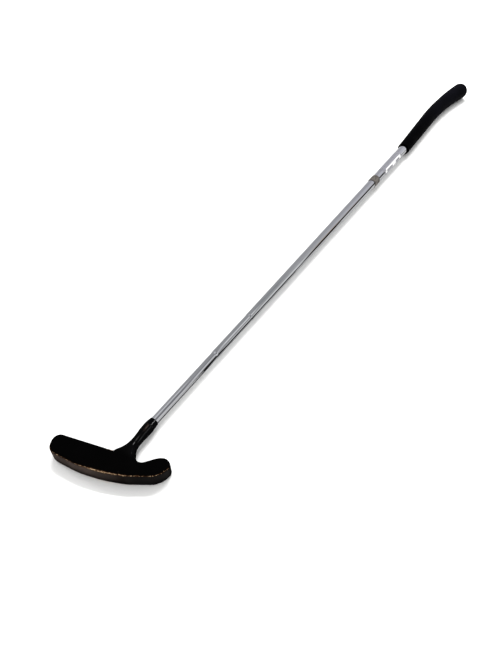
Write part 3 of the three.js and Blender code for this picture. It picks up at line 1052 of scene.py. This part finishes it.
# %% Ferrule
shaft_tip_radius = 4.5 * MM
first_step_place = 101 * MM
second_step_place = 168.3 * MM
step_ramp = 3 * MM
tip_section_top_radius = 4.65 * MM
mid_section_radius = 4.95 * MM
taper_bottom_radius = 5.2 * MM
taper_top_radius = 6.8 * MM
taper_top_place = 590 * MM
shaft_wall = 0.6 * MM
fit_gap = 0.12 * MM
seat_gap = 0.25 * MM
shaft_bottom = -ferrule_length - socket_depth + seat_gap
shaft_top = grip_end - cap_height - 4 * MM - seat_gap


def shaft_radius(place):
    """Outer radius of the tube at a distance from the top of the ferrule."""
    tip_share = (place - shaft_bottom) / (first_step_place - shaft_bottom)
    radius = mix(shaft_tip_radius, tip_section_top_radius, min(tip_share, 1))
    first = smooth_step(first_step_place, first_step_place + step_ramp, place)
    radius = mix(radius, mid_section_radius, first)
    second_top = second_step_place + step_ramp
    taper_share = min(max((place - second_top) / (taper_top_place - second_top), 0), 1)
    upper = mix(taper_bottom_radius, taper_top_radius, taper_share)
    return mix(radius, upper, smooth_step(second_step_place, second_top, place))


bottom, bottom_radius, top_radius = -ferrule_length + seat_gap, 5.8 * MM, 5.0 * MM
lip, foot_radius = 0.5 * MM, 0.3 * MM
inner = shaft_radius(0) + fit_gap / 2
flank = [(mix(bottom_radius, top_radius, t**1.25), mix(bottom + foot_radius, -lip, t))
         for t in np.linspace(0, 1, 9)]
foot = round_corner((bottom_radius - foot_radius, bottom + foot_radius), foot_radius, -90, 0)
crown = round_corner((top_radius - lip, -lip), lip, 0, 80)
profile = [(inner, bottom), *foot, *flank[1:-1], *crown, (inner, 0), (inner, -ferrule_length / 2)]

ferrule = turned_piece("ferrule_collar", profile)
dress(ferrule, "ferrule", ferrule_material)

# %% [markdown]
# ## The shaft
# The tube was drawn thinner twice near its tip, which leaves two small steps, and it widens in one
# long taper above them. More rings go where the radius changes quickly and where the tube bends.

# %% Shaft
# Distances of the tube's rings, closest together at the steps and in the bends
steps = [np.linspace(p - 0.6 * MM, p + step_ramp + 0.6 * MM, 15)
         for p in (first_step_place, second_step_place)]
plain = np.arange(shaft_bottom, first_bend_place, 12 * MM)
bent = np.arange(first_bend_place, shaft_top, 4 * MM)
every = np.concatenate([*steps, plain, bent, [shaft_top]])
places = np.unique(np.round(every, 6))
outside = [(shaft_radius(p), p) for p in places]
inside = [(radius - shaft_wall, p) for radius, p in outside]
shaft = turned_piece("shaft", outside + inside[::-1])
dress(shaft, "shaft_tube", chrome_material)

# %% [markdown]
# ## The tape ring
# The tape was wound round the shaft a little askew, so its two edges wander and one turn laps over
# the other. Its rim is torn into short frays. Here the edges come from noise, and the lap is a
# small ridge that climbs round the ring.

# %% Tape ring
ring_place = 487.5 * MM
ring_length = 15 * MM
ring_thickness = 0.5 * MM
askew_share = 0.05             # of the length, by which both edges wander together
fray_shares = (0.02, 0.10)     # of the length, least and most that a rim draws in
layer_share = 0.62             # of the thickness, as are the next two
lap_share = 0.30
grain_share = 0.10
grain_size = 1.1 * MM


def round_noise(angles, scale, layer):
    """Noise that closes on itself round the ring, another one for each layer."""
    return np.array([noise.noise(Vector((math.cos(a) * scale, math.sin(a) * scale, z)))
                     for a, z in zip(angles, layer)])


def wind_tape(straight):
    """Moves the points of a plain sleeve into askew, lapped and frayed tape."""
    made = straight.copy()
    radius = np.hypot(straight[:, 0], straight[:, 2])
    angle = np.arctan2(straight[:, 2], straight[:, 0])
    share = (straight[:, 1] - ring_place) / ring_length
    lean = round_noise(angle, 1.3, np.zeros(len(angle)))
    frays = round_noise(angle, 9, 5 * (share > 0.5))
    inward = mix(*fray_shares, np.clip(frays + 0.3, 0, 1)) * (np.abs(share - 0.5) * 2)**2
    new_share = 0.5 + (share - 0.5) * (1 - inward) + askew_share * lean
    lap = smooth_step(0.0, 0.06, share - 0.45 - 0.18 * np.cos(angle - 0.8))
    rough = np.array([noise.noise(Vector(p) / grain_size) for p in straight])
    inner = shaft_radius(ring_place) + fit_gap
    thick = np.clip((radius - inner) / ring_thickness, 0, 1)
    loft = thick * (layer_share + lap_share * lap + grain_share * rough) * ring_thickness
    made[:, [0, 2]] *= ((inner + loft) / radius)[:, None]
    made[:, 1] = ring_place + ring_length * new_share
    return made


inner = shaft_radius(ring_place) + fit_gap
low, high = ring_place, ring_place + ring_length
spots = np.linspace(low, high, 34)
profile = ([(inner + ring_thickness, p) for p in spots]
           + [(inner + ring_thickness / 2, high)]
           + [(inner, p) for p in spots[::-1]]
           + [(inner + ring_thickness / 2, low)])

tape_ring = turned_piece("tape_winding", profile, sides=160, move=wind_tape)
straight = read_vectors(tape_ring.data.attributes["straight"].data, "vector")
write_attribute(tape_ring.data, "turn", np.arctan2(straight[:, 2], straight[:, 0]))
write_attribute(tape_ring.data, "rim",
                np.abs((straight[:, 1] - ring_place) / ring_length - 0.5) * 2)
dress(tape_ring, "tape_ring", tape_material)

# %% [markdown]
# ## The label
# The label is a thin film wrapped once round the shaft. It lies close on the tube and its two rims
# are lightly rounded.

# %% Label
film_thickness = 0.11 * MM

low, high = label_place, label_place + label_length
spots = np.linspace(low, high, 12)
base = [(shaft_radius(p) + fit_gap * 0.5, p) for p in spots]
outer = [(radius + film_thickness, p) for radius, p in base]
rims = [(base[i][0] + film_thickness * 0.4, base[i][1]) for i in (0, -1)]
outer[0] = (outer[0][0], low + 0.3 * MM)
outer[-1] = (outer[-1][0], high - 0.3 * MM)
profile = [rims[0], *outer, rims[1], *base[::-1]]

label = turned_piece("printed_film", profile)
dress(label, "shaft_label", label_material)

# %% [markdown]
# ## The grip
# The grip is one moulding of rubber that slides over taped shaft. It swells slowly from its
# square-cut mouth to the butt, and bends with the shaft inside it.

# %% Grip
grip_mouth_radius = 9 * MM
grip_mouth_edge = 0.5 * MM
skin_gap = 0.01 * MM           # keeps the finished rubber inside its solid
grip_bore_radius = taper_top_radius + fit_gap + 0.3 * MM + fit_gap
sleeve_top = grip_end - cap_height
grip_swell_shares = [0, 0.07, 0.14, 0.21, 0.28, 0.35, 0.42, 0.50, 0.64, 0.84, 1]
swell_curve = smooth_through([(i, share) for i, share in enumerate(grip_swell_shares)], 12)


def grip_radius(place):
    share = (place - grip_place) / (sleeve_top - grip_place)
    spot = share * (len(grip_swell_shares) - 1)
    share = np.interp(spot, swell_curve[:, 0], swell_curve[:, 1])
    return mix(grip_mouth_radius, grip_butt_radius, share) - skin_gap


edge = grip_mouth_edge
mouth = round_corner((grip_mouth_radius - edge, grip_place + edge), edge, -90, 0)
spots = np.arange(grip_place + 2 * MM, sleeve_top - 0.5 * MM, 2.5 * MM)
outer = [(grip_radius(p), p) for p in spots]
groove = [(grip_radius(sleeve_top), sleeve_top - 0.2 * MM),
          (grip_butt_radius - 0.15 * MM, sleeve_top)]
inner = [(grip_bore_radius, p) for p in [*spots[::-1], grip_place + 0.4 * MM]]
lip = [(grip_bore_radius + 0.25 * MM, grip_place)]
profile = [*mouth, *outer, *groove, (grip_bore_radius, sleeve_top), *inner, *lip]

grip = turned_piece("rubber_grip", profile)
dress(grip, "grip_sleeve", grip_material)

# %% [markdown]
# ## Cap of the grip
# The cap is a second moulding that closes the butt. Its plug sits inside the sleeve, a fine groove
# shows where the two meet, and the end is a low dome with a flat top round the vent, a small hole
# that lets air out as the grip is pushed on. Like the grip it is one closed profile turned round
# the course, so it follows the bend without any fitting.

# %% Grip cap
cap_top_radius = 8.2 * MM
vent_radius = 1.2 * MM

bottom, top = sleeve_top + seat_gap * 0.4, grip_end - 0.1 * MM
spigot_bottom = shaft_top + seat_gap
spigot_radius = grip_bore_radius - fit_gap
dome = [(mix(cap_top_radius, grip_butt_radius - skin_gap, math.cos(angle)),
         mix(bottom, top, math.sin(angle))) for angle in np.linspace(0, math.pi / 2, 25)]
dome[0] = (grip_butt_radius - 0.15 * MM, bottom)
crown = [(mix(cap_top_radius, vent_radius + 0.3 * MM, t), top) for t in (0.3, 0.6, 0.9)]
vent = [(vent_radius + 0.12 * MM, top - 0.05 * MM), (vent_radius, top - 0.25 * MM)]
profile = [(vent_radius, spigot_bottom), (spigot_radius, spigot_bottom),
           (spigot_radius, bottom), *dome, *crown, *vent]

cap = turned_piece("rubber_cap", profile)
dress(cap, "grip_cap", cap_material)

# %% [markdown]
# ## Floor
# The club lies on a plain white floor. The floor is much wider than the view, so that no edge shows
# from any side. A painted reflection is part of the floor's material, and only glossy rays meet it:
# the chrome sees a dimmer floor with a near-black band beside the shaft, as black card laid there
# would show, which draws a dark line down the tube, while the floor itself stays white. The band
# lies further off past each step of the tube.

# %% Floor
floor_size = 30.0
# The painted reflection: colour of the band, dimming of the reflected floor, and the band's place
dark_reflection_color = 0.02
reflection_dimming = 0.38
dark_reflection_near, dark_reflection_far = 8 * MM, 20 * MM
dark_reflection_blend = 12 * MM
# Distance along the shaft, and how much further off the near and the far edge lie past it
dark_reflection_steps = [(98 * MM, 8.5 * MM, 180 * MM), (190 * MM, 5.5 * MM, floor_size),
              (290 * MM, 13 * MM, 0.0), (430 * MM, 45 * MM, 0.0)]


def dark_reflection_mask(place):
    """1 on the painted dark reflection band beside the shaft."""
    parts = split(place)
    aside, ahead = parts["X"] - axis_start.x, parts["Y"] - axis_start.y
    near_edge, far_edge = dark_reflection_near, dark_reflection_far
    for start, near_step, far_step in dark_reflection_steps:
        passed = soft_range(ahead, start - dark_reflection_blend, start + dark_reflection_blend)
        near_edge = passed * near_step + near_edge
        far_edge = passed * far_step + far_edge
    return (soft_range(aside - near_edge, -1 * MM, 1 * MM)
            * soft_range(aside - far_edge, -2 * MM, 2 * MM, 1.0, 0.0))


floor_material, shader = new_material("pale_floor", Roughness=0.8, Specular_IOR_Level=0.0)
place = own_place(shader)
color = blend(noise_value(place, 3.0, 4.0), (0.875, 0.875, 0.865), (0.905, 0.905, 0.90))
# Only glossy rays see the painted reflection: the floor dimmed, and a near-black band by the shaft
glossy = add_node(shader.id_data, "LightPath")["Is Glossy Ray"]
reflection_darkening = calc("MAXIMUM", dark_reflection_mask(place), reflection_dimming)
wire(shader, {"Base Color": blend(reflection_darkening * glossy, color, dark_reflection_color)})

corners = [(floor_size / 2 * x, floor_size / 2 * y, 0)
           for x, y in ((-1, -1), (1, -1), (1, 1), (-1, 1))]
floor = mesh_object("floor", corners, [(0, 1, 2, 3)])
floor.location.z = -0.05 * MM
floor.data.materials.append(floor_material)

# %% [markdown]
# ## Light
# White metal and black paint look like nothing without something to reflect. In a studio that is
# done with long strip lights and black cards set up parallel to the club. Here they are painted
# into the world: a strip is a band of directions round the line of the shaft, given by an angle up
# from the heel side and by how far it points along the shaft. Only glossy rays see the strips; all
# other rays see an even white room, so the floor stays plain.

# %% Strip group
room_strip, entry, leave = new_group(
    "room_strip",
    {"Angle": 0.0, "Along": 0.0, "First Angle": 0.0, "Last Angle": 0.0, "First Along": 0.0,
     "Last Along": 1.0, "Half Width": 4.0, "Softness": 2.0},
    ["Mask"])
end_blur = 0.012
walked = (entry["Along"] - entry["First Along"]) / (entry["Last Along"] - entry["First Along"])
walked = add_node(room_strip, "Clamp", {"Value": walked})[0]
middle = walked * (entry["Last Angle"] - entry["First Angle"]) + entry["First Angle"]
aside = calc("ABSOLUTE", entry["Angle"] - middle)
across = soft_range(aside, entry["Half Width"] - entry["Softness"],
                    entry["Half Width"] + entry["Softness"], 1.0, 0.0)
reach = between(entry["Along"], entry["First Along"], entry["Last Along"], end_blur)
wire(leave, {"Mask": across * reach})

# %% [markdown]
# ## The room
# The list below is the room as the chrome sees it, from the head to the grip. Each row is a strip:
# a bright one where a window or lamp stood, a dark one where nothing did. The rows were found by
# working back from each bright or dark line on a tube to the direction that it mirrors.

# %% Room
# First and last angle in degrees, first and last share along, half width, softness, colour
room_strips = [
    ((106, 106), (0.10, 0.405), 6, 3, (1.25, 1.25, 1.27)),
    ((50, 66), (0.20, 0.412), 12, 6, (0.20, 0.20, 0.215)),
    ((70, 86), (0.405, 0.486), 13, 6, (0.38, 0.38, 0.40)),
    ((18, 18), (0.330, 0.420), 12, 5, 0.98),
    ((38, 52), (0.415, 0.486), 12, 5, (0.92, 0.92, 0.93)),
    ((8, 8), (0.440, 0.488), 12, 4, 0.08),
    ((76, 66), (0.486, 0.557), 13, 6, 1.05),
    ((41, 41), (0.486, 0.557), 8, 4, (0.40, 0.40, 0.41)),
    ((17, 15), (0.505, 0.557), 7, 3, 0.86),
    ((104, 98), (0.562, 0.615), 18, 8, (0.42, 0.43, 0.44)),
    ((24, 30), (0.560, 0.655), 14, 5, 0.95),
    ((3, 17), (0.655, 0.795), 13, 4, (0.030, 0.025, 0.022)),
    ((27, 27), (0.668, 0.718), 5, 4, (0.52, 0.38, 0.26)),
    ((27, 27), (0.728, 0.745), 4, 3, (0.50, 0.37, 0.26)),
    ((36, 36), (0.245, 0.300), 9, 3, 3.0),
]
# Colour of the room by the share along: on the toe side, overhead, and on the heel side
room_colors = {
    "toe": [(0.34, (0.54, 0.54, 0.56)), (0.48, (0.47, 0.475, 0.485)), (0.57, (0.49, 0.50, 0.51)),
            (0.66, (0.52, 0.525, 0.54)), (0.78, (0.58, 0.58, 0.62))],
    "top": [(0.34, (0.60, 0.60, 0.62)), (0.48, (0.58, 0.58, 0.60)), (0.57, (0.50, 0.51, 0.52)),
            (0.66, (0.62, 0.62, 0.64)), (0.78, (0.76, 0.76, 0.81))],
    "heel": [(0.34, 0.66), (0.48, 0.58), (0.57, 0.74),
             (0.66, 0.85), (0.78, (0.95, 0.95, 0.97))],
}


def room_light():
    world = bpy.data.worlds.new("room")
    bpy.context.scene.world = world
    world.use_nodes = True
    tree = world.node_tree
    parts = split(add_node(tree, "TexCoord")["Generated"])
    angle = calc("DEGREES", calc("ARCTAN2", parts["Z"], parts["X"]))
    sides = {side: color_ramp(parts["Y"], stops) for side, stops in room_colors.items()}
    color = blend(soft_range(angle, 24, 40), sides["heel"], sides["top"])
    color = blend(soft_range(angle, 85, 110), color, sides["toe"])
    for angles, reach, half_width, softness, light in room_strips:
        mask = use(room_strip, Angle=angle, Along=parts["Y"], First_Angle=angles[0],
                   Last_Angle=angles[1], First_Along=reach[0], Last_Along=reach[1],
                   Half_Width=half_width, Softness=softness)["Mask"]
        color = blend(mask, color, light)
    # For all other rays the room is a white vault, brightest overhead
    vault = color_ramp(parts["Z"], [(0.0, 0.40), (0.5, 0.80), (1.0, 1.12)])
    glossy = add_node(tree, "LightPath")["Is Glossy Ray"]
    wire(tree.nodes["Background"], {"Color": blend(glossy, vault, color)})


room_light()

# %% [markdown]
# ## Key and fill
# The shadows tell where the main light hung. The front edge of the head's shadow is crisp while the
# shadow of the thin shaft is washed out, so the light was long from left to right and narrow from
# top to bottom: a tube beyond the club. It stays out of reflections, which it would make grainy.
# A weak sun from the toe side adds the second, fainter shadow. The thin gleams on black lacquer and
# plastic need lights of their own, because chrome beside them would show the same lights far too
# strongly. Light linking gives each gleam to one piece only, and it adds no plain light to it.

# %% Lamps
lamp_distance = 6.0


def direction(azimuth, elevation):
    """Unit vector from the club: azimuth to the right of +Y, elevation above the floor."""
    a, e = math.radians(azimuth), math.radians(elevation)
    return Vector((math.sin(a) * math.cos(e), math.cos(a) * math.cos(e), math.sin(e)))


def round_shaft(angle, along):
    """Unit vector given as the strips are: angle round the shaft and share along it."""
    a, spread = math.radians(angle), math.sqrt(1 - along**2)
    return Vector((spread * math.cos(a), along, spread * math.sin(a)))


def lamp(kind, name, energy):
    """A light that reflections and the camera don't show."""
    data = bpy.data.lights.new(name, kind)
    data.energy = energy
    light = bpy.data.objects.new(name, data)
    light.visible_camera = False
    light.visible_glossy = False
    bpy.context.scene.collection.objects.link(light)
    return light


def tube_light(name, first, last, thickness, power):
    """A long area light between two directions, facing the club."""
    first, last = first * lamp_distance, last * lamp_distance
    light = lamp("AREA", name, power)
    light.data.shape = "RECTANGLE"
    light.data.size, light.data.size_y = (last - first).length, thickness
    back = (first + last).normalized()
    along = (last - first).normalized()
    light.rotation_euler = Matrix((along, back.cross(along), back)).transposed().to_euler()
    light.location = (first + last) / 2
    return light


tube_light("key", direction(-50, 58), direction(2, 56), 0.3, 235)
fill = lamp("SUN", "fill", 0.35)
fill.data.angle = math.radians(8)
fill.rotation_euler = direction(-88, 34).to_track_quat("Z", "Y").to_euler()

# Name, first and last end as the strips are given, thickness, power and the piece that shows it
gleams = [
    ("collar_gleam", (57, 0.33), (57, 0.62), 0.30, 500, ferrule),
    ("neck_gleam", (49, 0.08), (46, 0.34), 0.45, 65, head),
    ("rim_gleam", (95, 0.10), (95, 0.28), 0.70, 65, head),
    ("crook_gleam", (91, 0.42), (92, 0.62), 0.60, 160, head),
    ("root_gleam", (93, 0.89), (93, 0.94), 0.60, 25, head),
]
for name, first, last, thickness, power, piece in gleams:
    light = tube_light(name, round_shaft(*first), round_shaft(*last), thickness, power)
    light.visible_glossy = True
    light.visible_diffuse = False
    shown_by = bpy.data.collections.new(name)
    shown_by.objects.link(piece)
    light.light_linking.receiver_collection = shown_by
print("lamps:", [light.name for light in bpy.data.lights])

# %% [markdown]
# ## Finish
# The contrast look bends the tones as a phone does: near-black goes black and near-white white.

# %% Finish
view = bpy.context.scene.view_settings
view.view_transform = "Standard"
view.look = "Medium High Contrast"
